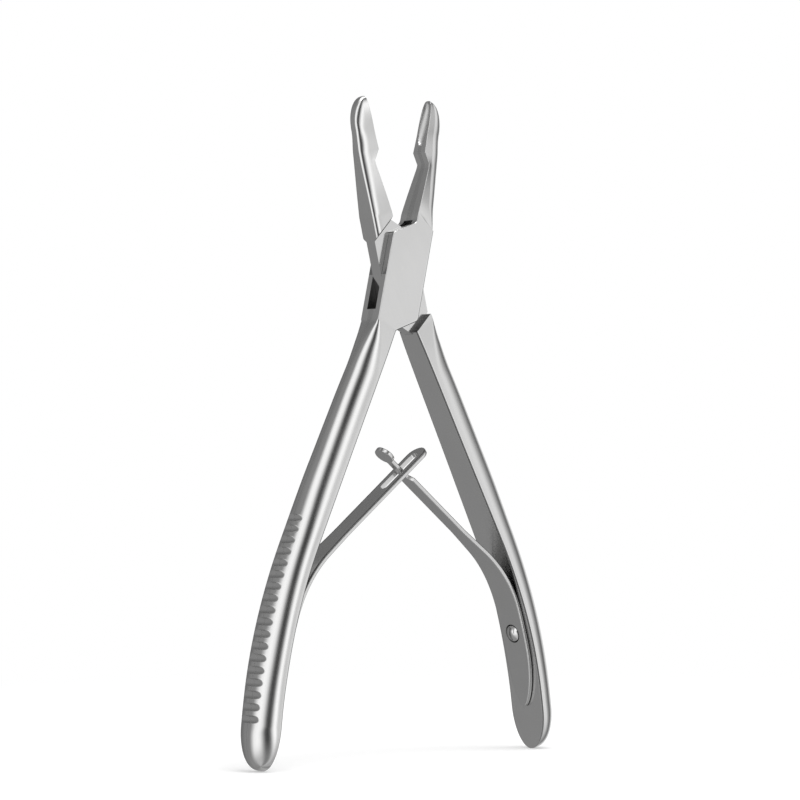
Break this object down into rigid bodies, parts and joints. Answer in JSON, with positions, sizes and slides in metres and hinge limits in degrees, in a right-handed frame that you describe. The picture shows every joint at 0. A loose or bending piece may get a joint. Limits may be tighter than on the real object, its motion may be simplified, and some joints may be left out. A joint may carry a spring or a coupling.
{
  "type": "bone rongeur",
  "caption": "Single action bone rongeur with box joint, cupped jaws, bowed ribbed handles and two linked leaf springs.",
  "frame": {"origin": "where the axis of the pivot pin meets the back face of the box", "axes": "+Z along the tool towards the jaws, +Y from the front face of the box to its back face, +X to the side of the jaw that the box carries"},
  "size_m": [0.1, 0.0125, 0.1697],
  "materials": {
    "box_arm": "polished satin stainless steel",
    "tongue_arm": "polished satin stainless steel",
    "pivot_pin": "ground flush stainless steel",
    "slotted_spring": "satin spring steel",
    "headed_spring": "satin spring steel",
    "spring_screw": "polished stainless steel"
  },
  "bodies": {
    "box_arm": {"box_arm": "box_arm", "pivot_pin": "pivot_pin", "slotted_spring_foot": "slotted_spring", "slotted_spring_screw": "spring_screw"},
    "tongue_arm": {"tongue_arm": "tongue_arm", "headed_spring_foot": "headed_spring", "headed_spring_screw": "spring_screw"},
    "slotted_spring": {"slotted_spring_blade": "slotted_spring"},
    "headed_spring": {"headed_spring_blade": "headed_spring"}
  },
  "joints": [
    {"name": "jaw_hinge", "type": "hinge", "parent": "box_arm", "child": "tongue_arm", "pos_m": [0, -0.00355, 0], "axis": [0, 1, 0], "range_deg": [0, 26.6], "stiffness_Nm_per_rad": 3},
    {"name": "slotted_spring_flex", "type": "hinge", "parent": "box_arm", "child": "slotted_spring", "pos_m": [-0.03288, -0.00355, -0.07776], "axis": [0, 1, 0], "range_deg": [-19, 0.5]},
    {"name": "headed_spring_flex", "type": "hinge", "parent": "tongue_arm", "child": "headed_spring", "pos_m": [0.03308, -0.00355, -0.07804], "axis": [0, 1, 0], "range_deg": [-0.5, 17]}
  ],
  "couplings": [
    {"joint": "slotted_spring_flex", "follows": "jaw_hinge", "ratio": -0.7},
    {"joint": "headed_spring_flex", "follows": "jaw_hinge", "ratio": 0.62}
  ]
}
